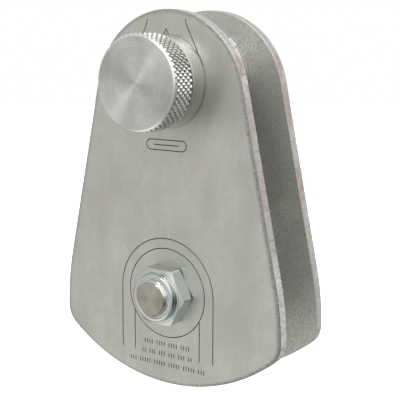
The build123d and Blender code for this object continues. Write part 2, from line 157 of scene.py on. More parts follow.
class Finish:
    """A metallic or plastic material, built from short node calls."""

    def __init__(self, name, metallic=1.0, roughness=0.35, anisotropic=0.0):
        self.material = bpy.data.materials.new(name)
        self.material.use_nodes = True
        self.tree = self.material.node_tree
        self.shader = self.tree.nodes["Principled BSDF"]
        self.shader.inputs["Metallic"].default_value = metallic
        self.shader.inputs["Roughness"].default_value = roughness
        self.shader.inputs["Anisotropic"].default_value = anisotropic
        self.place = self.node("ShaderNodeTexCoord").outputs["Object"]
        self.normal = None

    def node(self, kind, **inputs):
        made = self.tree.nodes.new(kind)
        for key, value in inputs.items():
            socket = made.inputs[int(key[1:]) if key[0] == "i" and key[1:].isdigit() else key]
            if isinstance(value, bpy.types.NodeSocket):
                self.tree.links.new(value, socket)
            else:
                socket.default_value = value
        return made

    def math(self, operation, a, b=0.0):
        made = self.node("ShaderNodeMath", i0=a, i1=b)
        made.operation = operation
        return made.outputs[0]

    def vector(self, operation, a, b=(0, 0, 0)):
        made = self.node("ShaderNodeVectorMath", i0=a, i1=b)
        made.operation = operation
        return made.outputs["Value" if operation == "LENGTH" else "Vector"]

    def noise(self, scale, detail=4.0, stretch=(1, 1, 1), rough=0.55):
        place = self.vector("MULTIPLY", self.place, stretch)
        made = self.node("ShaderNodeTexNoise", Vector=place, Scale=scale, Detail=detail, Roughness=rough)
        return made.outputs[0]

    def facing(self, tilted, square):
        """1 where the surface tilts away from the Y direction, 0 where it faces it squarely."""
        normal = self.node("ShaderNodeTexCoord").outputs["Normal"]
        along = self.node("ShaderNodeSeparateXYZ", Vector=normal).outputs["Y"]
        return self.spread(self.math("ABSOLUTE", along), 1.0, 0.0, tilted, square)

    def lathe_lines(self, centre, scale):
        """Fine turning marks: noise along the distance from the axis and along the axis."""
        arm = self.vector("SUBTRACT", self.place, (centre[0], 0, centre[1]))
        reach = self.vector("LENGTH", self.vector("MULTIPLY", arm, (1, 0, 1)))
        reach = self.math("ADD", reach, self.math("MULTIPLY", self.noise(260, 3), TURNING_WANDER))
        along = self.node("ShaderNodeSeparateXYZ", Vector=self.place).outputs["Y"]
        made = self.node("ShaderNodeTexNoise", Scale=scale, Detail=3.0, Roughness=0.6)
        made.noise_dimensions = "1D"
        self.tree.links.new(self.math("ADD", reach, self.math("MULTIPLY", along, 0.7)), made.inputs["W"])
        return made.outputs[0]

    def spread(self, value, low, high, start=0.0, end=1.0):
        """Map a 0 to 1 value onto low to high."""
        made = self.node("ShaderNodeMapRange", i0=value, i1=start, i2=end, i3=low, i4=high)
        return made.outputs[0]

    def blend(self, factor, first, second):
        made = self.tree.nodes.new("ShaderNodeMix")
        made.data_type = "RGBA"
        for socket, value in zip((made.inputs[0], made.inputs[6], made.inputs[7]), (factor, first, second)):
            if isinstance(value, bpy.types.NodeSocket):
                self.tree.links.new(value, socket)
            else:
                socket.default_value = value if isinstance(value, float) else (*value, 1)
        return made.outputs[2]

    def bump(self, height, strength, distance):
        made = self.node("ShaderNodeBump", Height=height, Strength=strength, Distance=distance)
        if self.normal is not None:
            self.tree.links.new(self.normal, made.inputs["Normal"])
        self.normal = made.outputs[0]
        self.tree.links.new(self.normal, self.shader.inputs["Normal"])

    def set(self, name, socket):
        self.tree.links.new(socket, self.shader.inputs[name])

    def grain_across_turning(self, centre):
        """Aim the anisotropy across circular tool marks around a centre."""
        arm = self.vector("SUBTRACT", self.place, (centre[0], 0, centre[1]))
        around = self.vector("CROSS_PRODUCT", (0, 1, 0), arm)
        turn = self.node("ShaderNodeVectorTransform", Vector=around)
        turn.vector_type = "VECTOR"
        turn.convert_from = "OBJECT"
        turn.convert_to = "WORLD"
        normal = self.node("ShaderNodeNewGeometry").outputs["Normal"]
        across = self.vector("CROSS_PRODUCT", turn.outputs[0], normal)
        self.set("Tangent", self.vector("NORMALIZE", across))


# Span in X over which painted shade on the plate's rolled rim grows from lighter on the left to darker on the
# right.
SHADE_RAMP_SPAN = 0.04


def plate_steel():
    """Tumbled stainless plate: satin and cloudy; its rolled-over rim rougher, mottled and darker, the
    darkening partly painted shade that grows towards the right (+X) side; painted shade in the engraved cuts.
    """
    f = Finish("plate_steel", roughness=0.38)
    cloud = f.noise(34, 5, rough=0.6)
    smear = f.noise(48, 4, stretch=(1.6, 1, 0.5))
    grain = f.noise(1900, 3)
    mottle = f.noise(1100, 4)
    soft = f.math("ADD", f.math("MULTIPLY", cloud, 0.55), f.math("MULTIPLY", smear, 0.45))
    tone = f.blend(f.spread(soft, 0.0, 1.0, 0.40, 0.60), (0.54, 0.54, 0.497), (0.635, 0.635, 0.595))
    rub = f.noise(300, 5, stretch=(1.0, 1, 0.75), rough=0.7)
    tone = f.blend(f.spread(rub, 0.0, 0.4, 0.45, 0.75), tone, (0.49, 0.49, 0.45))
    tone = f.blend(f.spread(mottle, 0.0, 0.35, 0.5, 0.72), tone, (0.47, 0.47, 0.43))
    rim = f.math("MULTIPLY", f.facing(0.988, 0.9998), f.math("SUBTRACT", 1.0, f.facing(0.80, 0.93)))
    # Dark mottled colour for the rolled rim: its own rough die-roll, darkened further as painted shade.
    worn = f.blend(f.spread(mottle, 0.0, 1.0, 0.38, 0.62), (0.23, 0.225, 0.215), (0.47, 0.465, 0.45))
    # Painted shade: the walls of the engraved cut lines are darkened to stand for the shade inside the
    # grooves.
    depth = f.math("ABSOLUTE", f.node("ShaderNodeSeparateXYZ", Vector=f.place).outputs["Y"])
    shallow = f.spread(depth, 0.0, 1.0, -FRONT_OUT - 0.56 * MM, -FRONT_OUT - 0.46 * MM)
    groove_shade = f.math("MULTIPLY", shallow, f.facing(0.80, 0.93))
    tone = f.blend(f.math("MULTIPLY", groove_shade, 0.8), tone, (0.16, 0.155, 0.15))
    across = f.node("ShaderNodeSeparateXYZ", Vector=f.place).outputs["X"]
    # Painted shade: the rim's dark colour is stronger towards +X, where the rolled rim falls in shade; the
    # rest is the rim's own rough die-roll.
    rim_wear_and_shade = f.math("MULTIPLY", rim, f.spread(across, 0.45, 0.95, -SHADE_RAMP_SPAN, SHADE_RAMP_SPAN))
    f.set("Base Color", f.blend(rim_wear_and_shade, tone, worn))
    gloss = f.math("ADD", f.math("MULTIPLY", soft, 0.6), f.math("MULTIPLY", grain, 0.4))
    f.set("Roughness", f.math("ADD", f.spread(gloss, 0.33, 0.46, 0.35, 0.65), f.math("MULTIPLY", rim, 0.10)))
    scratch = f.noise(60, 6, stretch=(14, 1, 0.6), rough=0.7)
    f.bump(scratch, 0.08, 0.0004)
    f.bump(rub, 0.10, 0.0003)
    f.bump(grain, 0.35, 0.00007)
    return f.material


# Painted light: pale pools (x, z, reach, strength) on the plates' inner faces, where light reaches into the
# gap between the plates.
PAINTED_LIGHT_SPOTS = ((0.027, 0.019, 0.013, 0.45), (0.046, -0.067, 0.010, 0.6), (0.056, -0.124, 0.018, 0.4))


def inner_steel():
    """Inside of the plates: dull mill skin with a dense dark grain and a few painted pools of light."""
    f = Finish("inner_steel", roughness=0.5)
    cloud = f.noise(30, 3)
    grain = f.noise(1300, 4, rough=0.7)
    tone = f.blend(f.spread(cloud, 0.0, 1.0, 0.38, 0.66), (0.65, 0.655, 0.61), (0.73, 0.72, 0.69))
    # Painted light: each pool lifts the colour towards near-white.
    for x, z, reach, amount in PAINTED_LIGHT_SPOTS:
        away = f.vector("MULTIPLY", f.vector("SUBTRACT", f.place, (x, 0, z)), (1, 0, 0.8))
        near = f.math("ADD", f.vector("LENGTH", away), f.spread(f.noise(110, 3), -0.005, 0.005, 0.3, 0.7))
        tone = f.blend(f.spread(near, amount, 0.0, 0.0, reach), tone, (1.0, 0.98, 0.94))
    f.set("Base Color", f.blend(f.spread(grain, 0.0, 0.8, 0.45, 0.66), tone, (0.40, 0.41, 0.39)))
    f.set("Roughness", f.spread(grain, 0.42, 0.62, 0.3, 0.7))
    f.bump(grain, 0.5, 0.0002)
    return f.material


# Rose patches on the sheared edges: (height, half reach, amount on the front plate, amount on the rear
# plate).
ROSE_PATCH_HEIGHTS = ((0.0088, 0.0044, 1.0, 1.0), (-0.0125, 0.011, 0.25, 1.0), (-0.052, 0.0085, 0.5, 1.0))
ROSE_PATCH_FADE = 0.0008
# Painted shade: a darker band on both plates' sheared edges around this height, standing for the dark
# reflection of the gap between the plates.
SHADE_BAND_MIDDLE = -0.046
SHADE_BAND_REACH = 0.032
SHADE_BAND_FADE = 0.014
TORN_REACH = 0.0014
TORN_FADE = 0.0008
TORN_HEIGHTS = (0.004, 0.022)


def sheared_steel():
    """Blanked edge of the plate: torn grain across the thickness, rose patches at listed heights, and painted
    shade in a band at mid height and along the rear plate's edge.
    """
    f = Finish("sheared_steel", roughness=0.42)
    tear = f.noise(900, 5, stretch=(1, 0.3, 1))
    fleck = f.noise(420, 4)
    apart = f.node("ShaderNodeSeparateXYZ", Vector=f.place)
    height = f.math("ADD", apart.outputs["Z"], f.spread(f.noise(70, 3), -0.002, 0.002, 0.3, 0.7))
    rose_patch = 0.0
    for z, reach, front, rear in ROSE_PATCH_HEIGHTS:
        away = f.math("ABSOLUTE", f.math("SUBTRACT", height, z))
        amount = f.spread(apart.outputs["Y"], front, rear, FRONT_OUT, REAR_OUT)
        patch = f.math("MULTIPLY", f.spread(away, 1.0, 0.0, reach - ROSE_PATCH_FADE, reach + ROSE_PATCH_FADE), amount)
        rose_patch = f.math("ADD", patch, rose_patch)
    rose_patch = f.math("MULTIPLY", rose_patch, f.spread(fleck, 0.35, 1.0, 0.35, 0.6))
    # Painted shade: the edge colour darkens in a band around the band's middle height and all along the rear
    # plate's edge.
    worn = f.math("ABSOLUTE", f.math("SUBTRACT", height, SHADE_BAND_MIDDLE))
    dull = f.spread(worn, 1.0, 0.0, SHADE_BAND_REACH, SHADE_BAND_REACH + SHADE_BAND_FADE)
    rear_edge_shade = f.spread(apart.outputs["Y"], 0.0, 1.0, FRONT_IN, REAR_IN)
    bare = f.blend(f.math("MAXIMUM", dull, rear_edge_shade), (0.70, 0.69, 0.68), (0.54, 0.53, 0.52))
    middle = (FRONT_IN + FRONT_OUT) / 2
    aside = f.math("ABSOLUTE", f.math("ADD", f.math("ABSOLUTE", apart.outputs["Y"]), middle))
    torn = f.math("MULTIPLY", f.spread(aside, 1.0, 0.0, TORN_REACH, TORN_REACH + TORN_FADE),
                  f.spread(height, 0.0, 0.75, *TORN_HEIGHTS))
    bare = f.blend(torn, bare, (0.46, 0.455, 0.45))
    tone = f.blend(rose_patch, bare, (0.51, 0.35, 0.33))
    f.set("Base Color", f.blend(f.spread(tear, 0.0, 0.8, 0.47, 0.70), tone, (0.40, 0.37, 0.36)))
    f.set("Roughness", f.spread(tear, 0.44, 0.62, 0.3, 0.7))
    f.bump(fleck, 0.25, 0.0004)
    f.bump(tear, 0.4, 0.0002)
    return f.material


def turned_metal(name, base, deep, centre, roughness=0.32, anisotropic=0.0, lines=9000, depth=0.25,
                 chatter=0.0):
    """Metal with lathe marks round an axis, a little uneven in tone; chatter breaks the marks up."""
    f = Finish(name, roughness=roughness, anisotropic=anisotropic)
    marks = f.lathe_lines(centre, lines)
    cloud = f.noise(120, 4)
    tone = f.blend(f.spread(cloud, 0.0, 1.0, 0.35, 0.65), base, deep)
    f.set("Base Color", f.blend(f.spread(marks, 0.0, 0.5, 0.4, 0.65), tone, deep))
    f.set("Roughness", f.spread(marks, roughness - 0.05, roughness + 0.10, 0.3, 0.7))
    f.bump(marks, depth, 0.00008)
    if chatter:
        f.bump(f.noise(500, 5, rough=0.75), chatter, 0.00015)
    if anisotropic:
        f.grain_across_turning(centre)
    return f.material


def plain_metal(name, base, deep, roughness):
    """Metal with a fine grain and soft tonal clouds."""
    f = Finish(name, roughness=roughness)
    grain = f.noise(1500, 4)
    cloud = f.noise(160, 4)
    f.set("Base Color", f.blend(f.spread(cloud, 0.0, 1.0, 0.35, 0.65), base, deep))
    f.set("Roughness", f.spread(grain, roughness - 0.06, roughness + 0.08, 0.3, 0.7))
    f.bump(grain, 0.15, 0.00005)
    return f.material


def knurled_metal(name, crown, shaded_root, centre, root_r, crown_r):
    """Bright cut crowns of a knurl over grooves darkened with painted shade."""
    f = Finish(name, roughness=0.24)
    arm = f.vector("SUBTRACT", f.place, (centre[0], 0, centre[1]))
    reach = f.vector("LENGTH", f.vector("MULTIPLY", arm, (1, 0, 1)))
    uneven = f.math("ADD", reach, f.spread(f.noise(700, 3), -0.00012, 0.00012, 0.3, 0.7))
    # Painted shade: the colour darkens from the crowns down into the knurl's grooves.
    f.set("Base Color", f.blend(f.spread(uneven, 0.0, 1.0, root_r, crown_r), shaded_root, crown))
    f.set("Roughness", f.spread(f.noise(1500, 4), 0.20, 0.34, 0.3, 0.7))
    f.bump(f.noise(900, 4), 0.2, 0.00008)
    return f.material


def zinc_plate():
    """Bright zinc plating: blue-white, with straw patches and soft pits."""
    f = Finish("zinc", roughness=0.2)
    patch = f.noise(140, 4)
    tone = f.blend(f.spread(patch, 0.0, 1.0, 0.38, 0.62), (0.57, 0.64, 0.655), (0.64, 0.64, 0.59))
    pit = f.noise(1400, 4)
    f.set("Base Color", f.blend(f.spread(pit, 0.0, 0.3, 0.55, 0.75), tone, (0.42, 0.46, 0.46)))
    f.set("Roughness", f.spread(pit, 0.12, 0.26, 0.3, 0.7))
    f.bump(f.noise(420, 3), 0.18, 0.00015)
    return f.material


def nylon():
    f = Finish("nylon", metallic=0.0, roughness=0.5)
    f.set("Base Color", f.blend(f.noise(500, 3), (0.62, 0.62, 0.57), (0.72, 0.72, 0.68)))
    f.bump(f.noise(2500, 3), 0.1, 0.00005)
    return f.material


KNOB_LOW, KNOB_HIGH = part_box("knob")
KNOB_TOP, KNOB_BASE = KNOB_LOW.y, KNOB_HIGH.y
KNOB_R = KNOB_HIGH.x
KNURL_AROUND = 53
KNURL_ROWS = 6
KNURL_DEPTH = 0.7 * MM
KNURL_FLAT = 0.34

PLATE = plate_steel()
INNER = inner_steel()
SHEARED = sheared_steel()
ZINC = zinc_plate()
NYLON = nylon()
KNOB_FACE = turned_metal("knob_face", (0.69, 0.695, 0.67), (0.57, 0.575, 0.55), SPINDLE, 0.46, 0.80,
                         lines=1500, depth=0.9, chatter=0.6)
# Dark second colour: painted shade in the knurl's grooves.
KNURL = knurled_metal("knurled_aluminium", (0.84, 0.84, 0.825), (0.26, 0.25, 0.235), SPINDLE,
                      KNOB_R - KNURL_DEPTH, KNOB_R - 0.15 * MM)
KNOB_BEVEL = turned_metal("knob_bevel", (0.84, 0.84, 0.825), (0.76, 0.76, 0.74), SPINDLE, 0.24)
COLLAR = turned_metal("collar_aluminium", (0.66, 0.66, 0.635), (0.58, 0.58, 0.555), SPINDLE, 0.33,
                      lines=3000, depth=0.25)
UPPER_ALU = turned_metal("upper_sheave_aluminium", (0.70, 0.70, 0.69), (0.58, 0.58, 0.57), SPINDLE, 0.2)
LOWER_ALU = turned_metal("lower_sheave_aluminium", (0.78, 0.78, 0.77), (0.68, 0.68, 0.67), AXLE, 0.27)
BOLT_END = turned_metal("bolt_end", (0.50, 0.465, 0.405), (0.40, 0.375, 0.32), AXLE, 0.32, 0.9, 3000, 0.5)
WASHER = turned_metal("washer_steel", (0.60, 0.60, 0.59), (0.50, 0.50, 0.49), SPINDLE, 0.18)
GROUND = plain_metal("ground_steel", (0.58, 0.58, 0.57), (0.50, 0.50, 0.49), 0.28)
SPRING = plain_metal("spring_steel", (0.36, 0.36, 0.37), (0.28, 0.28, 0.29), 0.3)
BRONZE = plain_metal("bronze", (0.60, 0.41, 0.20), (0.50, 0.33, 0.15), 0.36)
BLACK = plain_metal("black_oxide", (0.07, 0.07, 0.07), (0.045, 0.045, 0.045), 0.42)

SLOT_FINISH = {
    "plate_steel": PLATE,
    "zinc_steel": ZINC,
    "nylon": NYLON,
    "hardened_steel": GROUND,
    "bronze": BRONZE,
    "sheave_aluminium": UPPER_ALU,
    "spring_steel": SPRING,
    "washer_steel": WASHER,
    "housing_aluminium": COLLAR,
    "knob_aluminium": KNURL,
    "black_steel": BLACK,
}


def finish_cad_nodes():
    """Give every CAD node the finish of its slot."""
    for row in frame["record"]["subparts"]:
        mesh = nodes[row["node"]].data
        mesh.materials.clear()
        mesh.materials.append(SLOT_FINISH[row["material_slot"]])
        mesh.shade_smooth()
        mesh.set_sharp_from_angle(angle=radians(28))


# ---------------------------------------------------------------- cheek plates

TOP_R = 44.9 * MM
TOP_Z = -9.4 * MM
HALF_WIDTH = 67.3 * MM
HIP_R = 145.0 * MM
CORNER_R = 12.8 * MM
CORNER_Z = -125.0 * MM
BOTTOM_R = 98.4 * MM
ROLL_WIDTH = 3.2 * MM
ROLL_PROFILE = ((3.2, 0.0), (2.6, 0.012), (2.0, 0.05), (1.5, 0.10), (1.1, 0.16), (0.8, 0.225))
ROLL_CORNER = 0.62 * MM
EDGE_BREAK = 0.3 * MM
SUPPORT = 0.3 * MM
TRIM = 0.02 * MM
SLIVER = 0.0005 * MM
CUT_HALF = 0.25 * MM
CUT_DEPTH = 0.38 * MM


def arc(x, z, radius, start, end, steps):
    """Points along an arc, its last one left out."""
    turns = [start + (end - start) * k / steps for k in range(steps)]
    return [(x + radius * cos(t), z + radius * sin(t)) for t in turns]


def outline(inset):
    """A cheek plate's outline moved inwards, the same number of points for every inset."""
    inset += TRIM
    hip_x = HALF_WIDTH - HIP_R
    corner_x = HALF_WIDTH - CORNER_R
    bottom_z = CORNER_Z + sqrt((BOTTOM_R - CORNER_R) ** 2 - corner_x**2)
    reach = hypot(hip_x, CORNER_Z - TOP_Z)
    flank = atan2(CORNER_Z - TOP_Z, hip_x) + acos((TOP_R - HIP_R) / reach)
    foot = atan2(CORNER_Z - bottom_z, corner_x)
    half = arc(0, TOP_Z, TOP_R - inset, pi / 2, flank, 72)
    upper = (TOP_R - inset) * Vector((cos(flank), sin(flank))) + Vector((0, TOP_Z))
    lower = (HIP_R - inset) * Vector((cos(flank), sin(flank))) + Vector((hip_x, CORNER_Z))
    half += [tuple(upper.lerp(lower, k / 40)) for k in range(40)]
    half += arc(hip_x, CORNER_Z, HIP_R - inset, flank, 0, 24)
    half += arc(corner_x, CORNER_Z, CORNER_R - inset, 0, foot, 24)
    half += arc(0, bottom_z, BOTTOM_R - inset, foot, -pi / 2, 48)
    half.append((0, bottom_z - BOTTOM_R + inset))
    return half + [(-x, z) for x, z in half[-2:0:-1]]


def circle(centre, radius, steps=120):
    return arc(*centre, radius, 0, tau, steps)


def groove_edges(path, closed):
    """Both edges and the middle of a cut line, as open or closed runs of points."""
    runs = [[], []]
    count = len(path)
    for k, point in enumerate(path):
        before = path[(k - 1) % count] if closed or k else point
        after = path[(k + 1) % count] if closed or k + 1 < count else point
        along = (Vector(after) - Vector(before)).normalized()
        side = Vector((-along.y, along.x)) * CUT_HALF
        runs[0].append(tuple(Vector(point) + side))
        runs[1].append(tuple(Vector(point) - side))
    if closed:
        return [(runs[0], True), (list(path), True), (runs[1], True)]
    start, end = Vector(path[0]), Vector(path[-1])
    tail = start + (start - Vector(path[1])).normalized() * CUT_HALF
    nose = end + (end - Vector(path[-2])).normalized() * CUT_HALF
    loop = [tuple(tail)] + runs[0] + [tuple(nose)] + runs[1][::-1]
    return [(loop, True), ([tuple(tail)] + list(path) + [tuple(nose)], False)]


def straight(start, end, steps=8):
    a, b = Vector(start), Vector(end)
    return [tuple(a.lerp(b, k / steps)) for k in range(steps + 1)]


RING_R = 23.5 * MM
ARCH_R = 28.7 * MM
INNER_LEG_X = 20.5 * MM
LEG_END_Z = -141.7 * MM
SLING_LINE = ((22.0, 8.3), (14.6, 23.0), (12.35, 27.4), (11.2, 32.2))
ARROW_TIP = (0.0, 25.9 * MM)
ARROW_BARB = (1.9 * MM, 22.2 * MM)
BADGE_Z = -31.8 * MM
BADGE_SIZE = (25.0 * MM, 5.8 * MM)
TICK_HALF_HEIGHT = 1.1 * MM
TICK_PITCH = 1.55 * MM
TICK_ROWS = ((-136.2, 10, 5), (-141.6, 10, 4), (-147.0, 15, 6))


def smooth_run(points, steps=12):
    """Catmull-Rom curve through a few points."""
    knots = [Vector(p) for p in points]
    knots = [2 * knots[0] - knots[1]] + knots + [2 * knots[-1] - knots[-2]]
    made = []
    for a, b, c, d in zip(knots, knots[1:], knots[2:], knots[3:]):
        for k in range(steps):
            t = k / steps
            made.append(tuple(0.5 * (2 * b + (c - a) * t + (2 * a - 5 * b + 4 * c - d) * t * t
                                     + (3 * b - a - 3 * c + d) * t**3)))
    return made + [tuple(knots[-2])]


def cut_lines():
    """Centre lines of everything cut in the front face, each with whether it closes."""
    lines = [(circle(AXLE, RING_R), True)]
    over = arc(*AXLE, ARCH_R, 0, pi, 90) + [(-ARCH_R, AXLE[1])]
    right_leg = straight((ARCH_R, LEG_END_Z), (ARCH_R, AXLE[1]), 12)[:-1]
    left_leg = straight((-ARCH_R, AXLE[1]), (-ARCH_R, LEG_END_Z), 12)[1:]
    lines.append((right_leg + over + left_leg, False))
    leg_start = AXLE[1] - sqrt(RING_R**2 - INNER_LEG_X**2)
    for side in (-1, 1):
        sling = [(side * x * MM, z * MM) for x, z in SLING_LINE]
        lines.append((smooth_run(sling), False))
        lines.append((straight((side * INNER_LEG_X, leg_start), (side * INNER_LEG_X, LEG_END_Z)), False))
        lines.append((straight(ARROW_TIP, (side * ARROW_BARB[0], ARROW_BARB[1]), 3), False))
    half_run = (BADGE_SIZE[0] - BADGE_SIZE[1]) / 2
    cap = BADGE_SIZE[1] / 2 - CUT_HALF
    badge = arc(half_run, BADGE_Z, cap, -pi / 2, pi / 2, 16)
    badge += arc(-half_run, BADGE_Z, cap, pi / 2, 3 * pi / 2, 16)
    lines.append((badge, True))
    lines.append((straight((-0.3 * BADGE_SIZE[0], BADGE_Z), (0.3 * BADGE_SIZE[0], BADGE_Z)), False))
    for z, reach, skip in TICK_ROWS:
        for k in range(-reach, reach + 1):
            if k % skip:
                x = k * TICK_PITCH
                low, high = z * MM - TICK_HALF_HEIGHT, z * MM + TICK_HALF_HEIGHT
                lines.append((straight((x, low), (x, high), 2), False))
    return lines


def cut_depths(points, lines):
    """How deep each point lies in the nearest cut line."""
    points = np.array(points)
    nearest = np.full(len(points), 1.0)
    for path, closed in lines:
        run = np.array(list(path) + ([path[0]] if closed else []))
        a, b = run[:-1], run[1:]
        low, high = run.min(0) - CUT_HALF * 2, run.max(0) + CUT_HALF * 2
        near = np.where(((points > low) & (points < high)).all(1))[0]
        if not len(near):
            continue
        p = points[near][:, None]
        share = np.clip(((p - a) * (b - a)).sum(2) / ((b - a) ** 2).sum(1), 0, 1)
        gap = np.linalg.norm(p - (a + share[..., None] * (b - a)), axis=2).min(1)
        nearest[near] = np.minimum(nearest[near], gap)
    return CUT_DEPTH * np.clip(1 - nearest / CUT_HALF, 0, 1)


def inside(points, loop):
    """Which points lie inside a closed loop."""
    x, z = np.array(points).T
    found = np.zeros(len(x), bool)
    ring = np.array(loop)
    for (ax, az), (bx, bz) in zip(ring, np.roll(ring, -1, 0)):
        crosses = (az > z) != (bz > z)
        with np.errstate(divide="ignore", invalid="ignore"):
            found ^= crosses & (x < (bx - ax) * (z - az) / (bz - az) + ax)
    return found


def flat_face(border, rings, holes, lines):
    """Triangles of a flat face with holes, its cut lines sunk: (points, depths, faces)."""
    points, edges = [], []

    def add_run(run, closed):
        start = len(points)
        points.extend(Vector(p) for p in run)
        edges.extend((k, k + 1) for k in range(start, len(points) - 1))
        if closed:
            edges.append((len(points) - 1, start))

    for run in [border] + rings + holes:
        add_run(run, True)
    for path, closed in lines:
        for run, loops in groove_edges(path, closed):
            add_run(run, loops)
    made, _, faces, *_ = delaunay_2d_cdt(points, edges, [], 0, 1e-7)
    flat = [tuple(p) for p in made]
    centres = [tuple(sum((made[i] for i in f), Vector((0, 0))) / len(f)) for f in faces]
    keep = inside(centres, border)
    for hole in holes:
        keep &= ~inside(centres, hole)
    depths = cut_depths(flat, lines) if lines else np.zeros(len(flat))
    return flat, depths, [f for f, k in zip(faces, keep) if k and thickness([made[i] for i in f]) > SLIVER]


def thickness(corners):
    """Height of a triangle over its longest side."""
    a, b, c = corners
    area = abs((b - a).cross(c - a)) / 2
    return 2 * area / max((b - a).length, (c - b).length, (a - c).length)


def cheek_plate(name, inner, outer, holes, lines, body, stands_for):
    """A cheek plate. A hole is (centre, inner radius, outer radius, depth of the wider mouth)."""
    out = 1 if outer > inner else -1
    points, faces, kinds = [], [], []
    rings = [(EDGE_BREAK, inner), (0.0, inner + out * EDGE_BREAK)]
    drop = ROLL_PROFILE[-1][1] * MM + 0.045 * MM + ROLL_CORNER
    for k in range(9):
        t = k / 9 * pi / 2 * 0.94
        rings.append((ROLL_CORNER * (1 - cos(t)), outer - out * (drop - ROLL_CORNER * sin(t))))
    rings += [(inset * MM, outer - out * depth * MM) for inset, depth in ROLL_PROFILE[::-1]]
    loops = []
    for inset, y in rings:
        loops.append(range(len(points), len(points) + len(outline(0))))
        points += [(x, y, z) for x, z in outline(inset)]
    for row, (low, high) in enumerate(zip(loops, loops[1:])):
        for k in range(len(low)):
            n = (k + 1) % len(low)
            faces.append([low[k], low[n], high[n], high[k]])
            kinds.append((2, 1)[row] if row < 2 else 0)
    hole_steps = 96
    for y, border, wide, cuts in (
        (inner, EDGE_BREAK, 1, []),
        (outer, ROLL_WIDTH, 2, lines),
    ):
        mouths = [circle(hole[0], hole[wide], hole_steps) for hole in holes]
        flat, depths, made = flat_face(outline(border), [outline(border + SUPPORT)], mouths, cuts)
        start = len(points)
        points += [(x, y - (out if wide == 2 else -out) * d, z) for (x, z), d in zip(flat, depths)]
        faces += [[start + i for i in f] for f in made]
        kinds += [0 if wide == 2 else 2] * len(made)
    for centre, inner_r, outer_r, mouth in holes:
        throat = inner + out * mouth
        start = len(points)
        for y, radius in ((inner, inner_r), (throat, outer_r), (outer, outer_r)):
            points += [(x, y, z) for x, z in circle(centre, radius, hole_steps)]
        for row in range(2):
            for k in range(hole_steps):
                n = (k + 1) % hole_steps
                base = start + row * hole_steps
                faces.append([base + k, base + n, base + hole_steps + n, base + hole_steps + k])
                kinds.append(0)
    return add_piece(name, points, faces, [PLATE, SHEARED, INNER], body, stands_for, 24,
                     kinds)


def bore(centre, radius):
    """A plain hole for cheek_plate, as wide at its mouth as inside."""
    return (centre, radius, radius, 1 * MM)


# ---------------------------------------------------------------- knob

TOP_BEVEL = 1.4 * MM
BASE_BEVEL = 0.5 * MM


